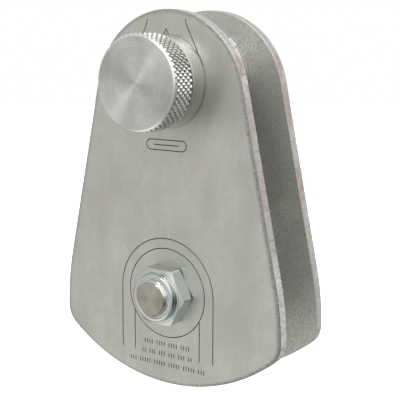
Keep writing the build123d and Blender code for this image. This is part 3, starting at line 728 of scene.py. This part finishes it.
def knurled_knob():
    """The knob's knurled side, bevels and faced end, and the hollow under it."""
    top, base = KNOB_TOP + TOP_BEVEL, KNOB_BASE - BASE_BEVEL
    columns = 2 * KNURL_AROUND
    root_r = KNOB_R - KNURL_DEPTH
    points, faces, kinds = [], [], []

    def at(column, row, radius):
        angle = tau * column / columns
        y = base + (top - base) * row / KNURL_ROWS
        points.append((radius * cos(angle), y, radius * sin(angle)))
        return len(points) - 1

    grid = {}
    for row in range(KNURL_ROWS + 1):
        for column in range(row % 2, columns, 2):
            grid[column, row] = at(column, row, root_r)
    rims = {}
    for row in range(KNURL_ROWS + 1):
        for column in range((row + 1) % 2, columns, 2):
            edge = row in (0, KNURL_ROWS)
            west, east = grid.get(((column - 1) % columns, row)), grid.get(((column + 1) % columns, row))
            south, north = grid.get((column, row - 1)), grid.get((column, row + 1))
            f = KNURL_FLAT
            if not edge:
                crown = [at(column - f, row, KNOB_R), at(column, row - f, KNOB_R),
                         at(column + f, row, KNOB_R), at(column, row + f, KNOB_R)]
                faces.append(crown[::-1])
                ring = [west, south, east, north]
                for k in range(4):
                    faces.append([ring[k], crown[k], crown[(k + 1) % 4], ring[(k + 1) % 4]])
                continue
            inward = north if row == 0 else south
            lean = f if row == 0 else -f
            crown = [at(column - f, row, KNOB_R), at(column, row + lean, KNOB_R), at(column + f, row, KNOB_R)]
            faces.append(crown)
            faces.append([west, inward, crown[1], crown[0]])
            faces.append([inward, east, crown[2], crown[1]])
            rims[column, row] = crown
    kinds = [0] * len(faces)

    def close_rim(row, y, radius):
        """Band from the knurl's cut-off edge to a round ring; returns the ring's points."""
        around = []
        for column in range(columns):
            if (column, row) in rims:
                left, _, right = rims[column, row]
                around += [left, right]
            elif (column, row) in grid:
                around.append(grid[column, row])
        start = len(points)
        for index in around:
            x, _, z = points[index]
            scale = radius / hypot(x, z)
            points.append((x * scale, y, z * scale))
        ring = list(range(start, len(points)))
        for k in range(len(around)):
            n = (k + 1) % len(around)
            faces.append([around[k], around[n], ring[n], ring[k]])
            kinds.append(2)
        return ring

    def widen(ring, y, radius, kind):
        start = len(points)
        for index in ring:
            x, _, z = points[index]
            scale = radius / hypot(x, z)
            points.append((x * scale, y, z * scale))
        made = list(range(start, len(points)))
        for k in range(len(ring)):
            n = (k + 1) % len(ring)
            faces.append([ring[k], ring[n], made[n], made[k]])
            kinds.append(kind)
        return made

    face_r = KNOB_R - TOP_BEVEL
    ring = close_rim(KNURL_ROWS, KNOB_TOP + TOP_BEVEL - KNURL_DEPTH, root_r)
    ring = widen(ring, KNOB_TOP + 0.12 * MM, face_r + 0.1 * MM, 2)
    ring = widen(ring, KNOB_TOP, face_r - 0.15 * MM, 2)
    for share in (0.75, 0.5, 0.25, 0.08):
        ring = widen(ring, KNOB_TOP, face_r * share, 1)
    points.append((0, KNOB_TOP, 0))
    hub = len(points) - 1
    for k in range(len(ring)):
        faces.append([ring[k], ring[(k + 1) % len(ring)], hub])
        kinds.append(1)
    well_r, well_top = 13.6 * MM, -40.0 * MM
    thread_r, thread_end_y = 4.0 * MM, well_top - 5.8 * MM
    ring = close_rim(0, KNOB_BASE, root_r - 0.1 * MM)
    ring = widen(ring, KNOB_BASE, well_r, 2)
    ring = widen(ring, well_top, well_r, 2)
    ring = widen(ring, well_top, thread_r, 2)
    ring = widen(ring, thread_end_y, thread_r, 2)
    points.append((0, thread_end_y, 0))
    for k in range(len(ring)):
        faces.append([ring[k], ring[(k + 1) % len(ring)], len(points) - 1])
        kinds.append(2)
    return add_piece("knob_knurled", points, faces, [KNURL, KNOB_FACE, KNOB_BEVEL], "knob_and_pin",
                     ["knob"], 20, kinds)


# ---------------------------------------------------------------- nuts, bolt and turned pieces


CORNER_TURNED = 0.985
CHAMFER_SLOPE = 0.58


def hex_radius(across, angle, turned_by, corner):
    """Distance from the axis to a hexagon's side, the corners a little rounded."""
    part = (angle - turned_by) % (pi / 3) - pi / 6
    return min(across / 2 / cos(part), corner)


def lock_nut_piece(name, node, centre, seat, out, across, hex_h, total_h, collar_r, shank_r,
                   turned_by=0.0):
    """Lock nut: hexagon with turned corners, flange-free collar, and a lip over the insert."""
    corner = across / sqrt(3) * CORNER_TURNED
    flat_r = across / 2 - 0.3 * MM

    def side(angle):
        return hex_radius(across, angle, turned_by, corner)

    def foot(angle):
        drop = max(0.0, side(angle) - flat_r - 0.3 * MM) * 0.55
        return (seat + out * drop, side(angle))

    def brow(angle):
        drop = max(0.0, side(angle) - flat_r) * CHAMFER_SLOPE
        return (seat + out * (hex_h - drop), side(angle))

    top = seat + out * total_h
    lip = shank_r + 0.8 * MM
    insert_seat = seat + out * (hex_h - 1.0 * MM)
    rings = [
        (seat, shank_r + 0.02 * MM),
        (seat, across / 2 - 0.2 * MM),
        foot,
        brow,
        (seat + out * hex_h, flat_r),
        (seat + out * hex_h, collar_r + 0.75 * MM),
        (seat + out * (hex_h + 0.25 * MM), collar_r + 0.3 * MM),
        (seat + out * (hex_h + 0.7 * MM), collar_r),
        (top - out * 1.5 * MM, collar_r),
        (top - out * 1.0 * MM, collar_r - 0.12 * MM),
        (top - out * 0.5 * MM, collar_r - 0.45 * MM),
        (top - out * 0.15 * MM, collar_r - 0.95 * MM),
        (top, collar_r - 1.5 * MM),
        (top, lip + 0.2 * MM),
        (top - out * 0.15 * MM, lip),
        (top - out * 0.6 * MM, lip),
        (top - out * 0.6 * MM, shank_r + 1.88 * MM),
        (insert_seat, shank_r + 1.9 * MM),
        (insert_seat, shank_r + 0.02 * MM),
    ]
    return turned(name, rings, centre, ZINC, "frame", [node], 180, closed=True, sharp=24)


def thread_end(start, end, radius, pitch, depth, chamfer):
    """Rings of a threaded stretch that ends in a chamfer, from start to end along Y."""
    out = 1 if end > start else -1
    length = abs(end - start)
    steps = max(8, round(length / (pitch / 12)))

    def ring(k):
        run = length * k / steps

        def at(angle):
            phase = (run / pitch - angle / tau) % 1.0
            dip = depth * min(1.0, max(0.0, 1.15 - abs(phase - 0.5) * 3.2))
            limit = radius - max(0.0, run - (length - chamfer)) * 0.95
            return (start + out * run, min(radius - dip, limit))

        return at

    return [ring(k) for k in range(steps + 1)]


def axle_bolt_piece():
    """Hexagon head at the back, plain shank, and a threaded end in front of the nut."""
    low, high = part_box("axle_bolt")
    end, head = low.y, high.y
    across = high.z - low.z
    shank_r = SHANK_R
    flat_r = across / 2 - 0.4 * MM
    corner = across / sqrt(3) * CORNER_TURNED
    seat = REAR_OUT

    def side(angle):
        return hex_radius(across, angle, 0.0, corner)

    def brow(angle):
        return (head - max(0.0, side(angle) - flat_r) * CHAMFER_SLOPE, side(angle))

    rings = [
        (head - 0.25 * MM, 0),
        (head - 0.25 * MM, flat_r - 2.2 * MM),
        (head, flat_r - 1.9 * MM),
        (head, flat_r),
        brow,
        lambda angle: (seat + 0.5 * MM, side(angle)),
        (seat + 0.5 * MM, flat_r - 0.3 * MM),
        (seat, flat_r - 0.4 * MM),
        (seat, shank_r),
        (FRONT_OUT + 1.0 * MM, shank_r),
    ]
    start = FRONT_OUT + 0.9 * MM
    rings += thread_end(start, end + 0.05 * MM, shank_r, INCH / 16, 0.75 * MM, 1.3 * MM)
    turned("axle_bolt_shank", rings[:-1], AXLE, ZINC, "frame", ["axle_bolt"], 144, sharp=30)
    rim = shank_r - 1.2 * MM
    face = [(end + 0.35 * MM, shank_r - 1.6 * MM), (end + 0.12 * MM, rim), (end + 0.01 * MM, rim - 0.15 * MM),
            (end, rim - 0.45 * MM), (end, rim * 0.66), (end, rim * 0.33), (end, 0)]
    turned("axle_bolt_end_face", face, AXLE, BOLT_END, "frame", (), 144)


def spindle_tail_piece():
    """Upper spindle: socket, body with the snap ring's groove, and a threaded tail for its nut."""
    low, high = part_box("upper_spindle")
    front, tail = low.y, high.y
    body_r, shank_r, groove_r, nose_r = high.z, TAIL_R, 8.7 * MM, 6.4 * MM
    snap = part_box("spindle_snap_ring")
    rings = [
        (front + 9.0 * MM, 0),
        (front + 9.0 * MM, nose_r),
        (front + 0.3 * MM, nose_r),
        (front, nose_r + 0.3 * MM),
        (front, body_r - 0.5 * MM),
        (front + 0.5 * MM, body_r),
        (snap[0].y - 0.05 * MM, body_r),
        (snap[0].y - 0.05 * MM, groove_r),
        (snap[1].y + 0.05 * MM, groove_r),
        (snap[1].y + 0.05 * MM, body_r),
        (REAR_IN, body_r),
        (REAR_IN, shank_r),
        (REAR_OUT + 0.5 * MM, shank_r),
    ]
    rings += thread_end(REAR_OUT + 0.6 * MM, tail, shank_r, 1.4 * MM, 0.65 * MM, 1.1 * MM)
    rings.append((tail, 0))
    return turned("upper_spindle_turned", rings, SPINDLE, GROUND, "frame",
                  ["upper_spindle"], 144, sharp=30)


def lower_sheave_piece():
    """Rope sheave: a round groove between rims, with a recessed web."""
    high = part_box("lower_sheave")[1]
    half, outer = high.y, high.x
    groove_r, root_r, bore_r = 10.3 * MM, INCH, 16.0 * MM
    hub_r, pocket_r, pocket = 22.5 * MM, 33.5 * MM, 0.8 * MM
    shelf = root_r + groove_r
    lip = groove_r + 1.1 * MM
    profile = [(-half, bore_r + 0.4 * MM), (-half, hub_r - 0.2 * MM), (-half + 0.2 * MM, hub_r),
               (-half + pocket, hub_r + 0.6 * MM), (-half + pocket, pocket_r - 0.6 * MM),
               (-half + 0.15 * MM, pocket_r), (-half, pocket_r + 0.2 * MM)]
    profile += rounded((-half, outer), 1.2 * MM, (-1, 1))
    profile += rounded((-lip, outer), 0.9 * MM, (1, 1))
    turns = [pi + pi * k / 28 for k in range(29)]
    profile += [(groove_r * cos(t), shelf + groove_r * sin(t)) for t in turns]
    profile += [(-y, r) for y, r in profile[:len(profile) - 29][::-1]]
    profile += [(half - 0.4 * MM, bore_r), (-half + 0.4 * MM, bore_r)]
    return turned("lower_sheave_turned", profile, AXLE, LOWER_ALU, "lower_wheel",
                  ["lower_sheave"], 192, closed=True)


def rounded(corner, radius, way, steps=6):
    """Quarter turn round an outer corner of a profile; way says which side the corner faces."""
    y, r = corner
    cy, cr = y - way[0] * radius, r - way[1] * radius
    start = pi if way[0] < 0 else pi / 2
    turns = [start - pi / 2 * k / steps for k in range(steps + 1)]
    return [(cy + radius * cos(t), cr + radius * sin(t)) for t in turns]


def upper_sheave_piece():
    """Sling sheave: a wide shallow groove, with a seat for the snap ring at the front."""
    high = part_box("upper_sheave")[1]
    half, outer = high.y, high.x
    waist_r, rim, bore_r = 16.6 * MM, 2.6 * MM, 12.0 * MM
    seat, seat_r = -13.0 * MM, 13.4 * MM
    reach = half - rim
    drop = outer - waist_r
    groove_r = (reach**2 + drop**2) / (2 * drop)
    span = acos((groove_r - drop) / groove_r)
    side = rounded((-half, outer), 0.8 * MM, (-1, 1)) + rounded((-reach - 0.25 * MM, outer), 0.8 * MM, (1, 1))
    turns = [-span + 2 * span * k / 32 for k in range(1, 32)]
    waist = [(groove_r * sin(t), waist_r + groove_r - groove_r * cos(t)) for t in turns]
    profile = [(-half, seat_r)] + side + waist + [(-y, r) for y, r in side[::-1]]
    profile += [(half, bore_r + 0.3 * MM), (half - 0.3 * MM, bore_r), (seat, bore_r), (seat, seat_r)]
    return turned("upper_sheave_turned", profile, SPINDLE, UPPER_ALU, "upper_wheel",
                  ["upper_sheave"], 176, closed=True)


COLLAR_GAP = 1.4 * MM


def housing_piece():
    """Plunger housing: collar on the plate, neck inside the knob, spigot through the plate."""
    collar_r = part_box("plunger_housing")[1].x
    top = KNOB_BASE + COLLAR_GAP
    neck_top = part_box("plunger_housing")[0].y
    rings = [
        (FRONT_IN, 6.4 * MM), (FRONT_IN, 13.7 * MM), (FRONT_IN - 0.3 * MM, 14.0 * MM), (FRONT_OUT, 14.0 * MM),
        (FRONT_OUT, collar_r - 0.35 * MM), (FRONT_OUT - 0.35 * MM, collar_r - 0.3 * MM),
        (FRONT_OUT - 0.6 * MM, collar_r), (top + 0.7 * MM, collar_r),
        (top + 0.35 * MM, collar_r - 0.1 * MM), (top + 0.1 * MM, collar_r - 0.35 * MM),
        (top, collar_r - 0.7 * MM),
        (top, 13.0 * MM), (neck_top + 0.5 * MM, 13.0 * MM), (neck_top, 12.5 * MM), (neck_top, 10.5 * MM),
        (-20.0 * MM, 10.5 * MM), (-20.0 * MM, 6.4 * MM),
    ]
    return turned("plunger_housing_turned", rings, SPINDLE, COLLAR, "front_cheek",
                  ["plunger_housing"], 176, closed=True)


def washer_piece(name, node, centre, finish, body, inner_r):
    """Flat washer with rounded edges that stands for a CAD washer."""
    low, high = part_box(node)
    outer, round_r = high.x, 0.3 * MM
    profile = [(low.y, inner_r + 0.1 * MM)] + rounded((low.y, outer), round_r, (-1, 1), 4)
    profile += rounded((high.y, outer), round_r, (1, 1), 4)
    profile += [(high.y, inner_r + 0.1 * MM), (high.y - 0.1 * MM, inner_r), (low.y + 0.1 * MM, inner_r)]
    return turned(name, profile, centre, finish, body, [node], 144, closed=True)


# ---------------------------------------------------------------- stage


def world_light():
    """Soft studio surroundings: a pale backdrop for the camera, graded light for reflections."""
    world = bpy.data.worlds.new("studio")
    bpy.context.scene.world = world
    world.use_nodes = True
    tree = world.node_tree
    tree.nodes.clear()
    place = tree.nodes.new("ShaderNodeTexCoord").outputs["Generated"]

    def math(operation, a, b):
        made = tree.nodes.new("ShaderNodeMath")
        made.operation = operation
        for socket, value in zip(made.inputs, (a, b)):
            if isinstance(value, bpy.types.NodeSocket):
                tree.links.new(value, socket)
            else:
                socket.default_value = value
        return made.outputs[0]

    def lobe(way, start, end, strength):
        dot = tree.nodes.new("ShaderNodeVectorMath")
        dot.operation = "DOT_PRODUCT"
        tree.links.new(place, dot.inputs[0])
        dot.inputs[1].default_value = Vector(way).normalized()
        soft = tree.nodes.new("ShaderNodeMapRange")
        soft.interpolation_type = "SMOOTHSTEP"
        soft.inputs[1].default_value = start
        soft.inputs[2].default_value = end
        soft.inputs[4].default_value = strength
        tree.links.new(dot.outputs["Value"], soft.inputs[0])
        return soft.outputs[0]

    total = AMBIENT
    for way, start, end, strength in LOBES:
        total = math("ADD", total, lobe(way, start, end, strength))
    seen = tree.nodes.new("ShaderNodeLightPath").outputs["Is Camera Ray"]
    back = tree.nodes.new("ShaderNodeBackground")
    lit = tree.nodes.new("ShaderNodeBackground")
    tree.links.new(total, lit.inputs["Strength"])
    lit.inputs["Color"].default_value = (1.0, 1.0, 0.985, 1)
    mix = tree.nodes.new("ShaderNodeMixShader")
    back.inputs["Color"].default_value = (1, 1, 1, 1)
    tree.links.new(seen, mix.inputs[0])
    tree.links.new(lit.outputs[0], mix.inputs[1])
    tree.links.new(back.outputs[0], mix.inputs[2])
    out = tree.nodes.new("ShaderNodeOutputWorld")
    tree.links.new(mix.outputs[0], out.inputs["Surface"])


# Each lobe: its direction, the cosines where it starts and where it is full, and its strength
AMBIENT = 0.46
LOBES = (
    ((-0.60, -0.78, -0.17), 0.4, 0.95, 0.28),
    ((0.50, -0.84, 0.22), 0.6, 0.95, 0.34),
    ((0.66, 0.74, 0.10), 0.72, 0.97, 0.50),
    ((-0.35, 0.85, 0.35), 0.4, 0.9, 0.45),
    ((0.0, 0.0, 1.0), 0.3, 0.95, 0.30),
    ((0.88, -0.42, -0.20), 0.80, 0.98, -0.36),
    ((0.50, -0.70, 0.50), 0.80, 0.97, 0.55),
    ((0.44, 0.20, 0.87), 0.90, 0.985, 1.3),
    ((0.90, 0.22, -0.30), 0.72, 0.96, -0.24),
    ((0.12, -0.97, -0.20), 0.94, 0.99, -0.32),
    ((-0.12, 0.84, -0.52), 0.75, 0.96, 0.45),
    ((-0.38, -0.42, -0.83), 0.85, 0.97, 0.60),
    ((0.0, 0.0, -1.0), 0.3, 0.9, -0.12),
)
LAMP_AIM = Vector((0, 0, -0.06))
KEY_WAY = (0.05, -0.66, 0.75)
KEY_DISTANCE = 1.0
KEY_SIZE = 0.15
KEY_POWER = 1.8


def softbox(name, way, distance, size, power):
    """Square soft lamp that looks at the middle of the block."""
    lamp = bpy.data.lights.new(name, "AREA")
    lamp.shape = "SQUARE"
    lamp.size = size
    lamp.energy = power
    box = bpy.data.objects.new(name, lamp)
    towards = Vector(way).normalized()
    box.location = LAMP_AIM + towards * distance
    box.rotation_mode = "QUATERNION"
    box.rotation_quaternion = towards.to_track_quat("Z", "Y")
    box.visible_camera = False
    bpy.context.scene.collection.objects.link(box)


FLOOR_DROP = 70 * MM
FLOOR_R = 3.0
FLOOR_SIDES = 64


def floor():
    """Plain pale floor, clear of the front plate when it swings down."""
    material = bpy.data.materials.new("floor_white")
    material.use_nodes = True
    shader = material.node_tree.nodes["Principled BSDF"]
    grain = material.node_tree.nodes.new("ShaderNodeTexNoise")
    grain.inputs["Scale"].default_value = 60
    tint = material.node_tree.nodes.new("ShaderNodeMix")
    tint.data_type = "RGBA"
    tint.inputs[6].default_value = (0.93, 0.93, 0.93, 1)
    tint.inputs[7].default_value = (0.95, 0.95, 0.95, 1)
    material.node_tree.links.new(grain.outputs[0], tint.inputs[0])
    material.node_tree.links.new(tint.outputs[2], shader.inputs["Base Color"])
    shader.inputs["Roughness"].default_value = 0.9
    shader.inputs["Emission Color"].default_value = (1, 1, 1, 1)
    shader.inputs["Emission Strength"].default_value = 0.75
    mesh = bpy.data.meshes.new("floor")
    z = cad_low.z - FLOOR_DROP
    ring = [(x, y, z) for x, y in circle((0, 0), FLOOR_R, FLOOR_SIDES)]
    mesh.from_pydata(ring, [], [list(range(FLOOR_SIDES))])
    mesh.materials.append(material)
    plane = bpy.data.objects.new("floor", mesh)
    bpy.context.scene.collection.objects.link(plane)
    plane.visible_glossy = False


CAMERA_TURN, CAMERA_HEIGHT, CAMERA_ROLL = radians(33.85), radians(9.89), radians(-0.26)
CAMERA_AIM = Vector((6.37, 0, -62.24)) * MM
CAMERA_SHIFT = 0.6 * MM
CAMERA_DISTANCE = 504.9 * MM
CAMERA_LENS = 86.87


def camera():
    """Camera in front of the block, turned to its right side and a little above it."""
    azimuth, elevation = CAMERA_TURN, CAMERA_HEIGHT
    back = Vector((sin(azimuth) * cos(elevation), -cos(azimuth) * cos(elevation), sin(elevation)))
    data = bpy.data.cameras.new("camera")
    data.lens = CAMERA_LENS
    data.sensor_width = 36
    eye = bpy.data.objects.new("camera", data)
    right = Vector((cos(azimuth), sin(azimuth), 0))
    eye.location = CAMERA_AIM - right * CAMERA_SHIFT + back * CAMERA_DISTANCE
    eye.rotation_mode = "QUATERNION"
    tilt = Matrix.Rotation(-CAMERA_ROLL, 4, "Z").to_quaternion()
    eye.rotation_quaternion = (-back).to_track_quat("-Z", "Y") @ tilt
    bpy.context.scene.collection.objects.link(eye)
    bpy.context.scene.camera = eye


# ---------------------------------------------------------------- assembly

AXLE_BORE_FRONT, AXLE_BORE_REAR = SHANK_R + 0.05 * MM, SHANK_R + 0.02 * MM
HOUSING_BORE, TAIL_BORE = 14.02 * MM, 7.96 * MM
SCREW_CIRCLE_R = 18.6 * MM
SCREW_R, SCREW_HEAD_R, SCREW_HEAD_H = 2.02 * MM, 3.9 * MM, 2.1 * MM

finish_cad_nodes()

screw_holes = []
for angle in (radians(90), radians(210), radians(330)):
    place = (SCREW_CIRCLE_R * cos(angle), SCREW_CIRCLE_R * sin(angle))
    screw_holes.append((place, SCREW_HEAD_R, SCREW_R, SCREW_HEAD_H))
cheek_plate(
    "front_cheek_plate", FRONT_IN, FRONT_OUT,
    [bore(AXLE, AXLE_BORE_FRONT), bore(SPINDLE, HOUSING_BORE)] + screw_holes,
    cut_lines(), "front_cheek", ["front_plate"],
)
cheek_plate(
    "rear_cheek_plate", REAR_IN, REAR_OUT,
    [bore(AXLE, AXLE_BORE_REAR), bore(SPINDLE, TAIL_BORE)],
    [], "frame", ["rear_plate"],
)
knurled_knob()
housing_piece()
lock_nut_piece("axle_lock_nut", "axle_nut", AXLE, FRONT_OUT, -1, 1.125 * INCH, 8.8 * MM, 12.1 * MM,
               12.6 * MM, SHANK_R, radians(-2))
lock_nut_piece("spindle_lock_nut", "spindle_nut", SPINDLE, REAR_OUT, 1, 0.9375 * INCH, 7.2 * MM, 9.6 * MM,
               10.4 * MM, TAIL_R)
axle_bolt_piece()
spindle_tail_piece()
lower_sheave_piece()
upper_sheave_piece()
washer_piece("upper_washer", "upper_thrust_washer", SPINDLE, WASHER, "frame",
             SHANK_R + 0.05 * MM)

world_light()
softbox("key", KEY_WAY, KEY_DISTANCE, KEY_SIZE, KEY_POWER)
floor()
camera()
bpy.context.scene.view_settings.view_transform = "Standard"
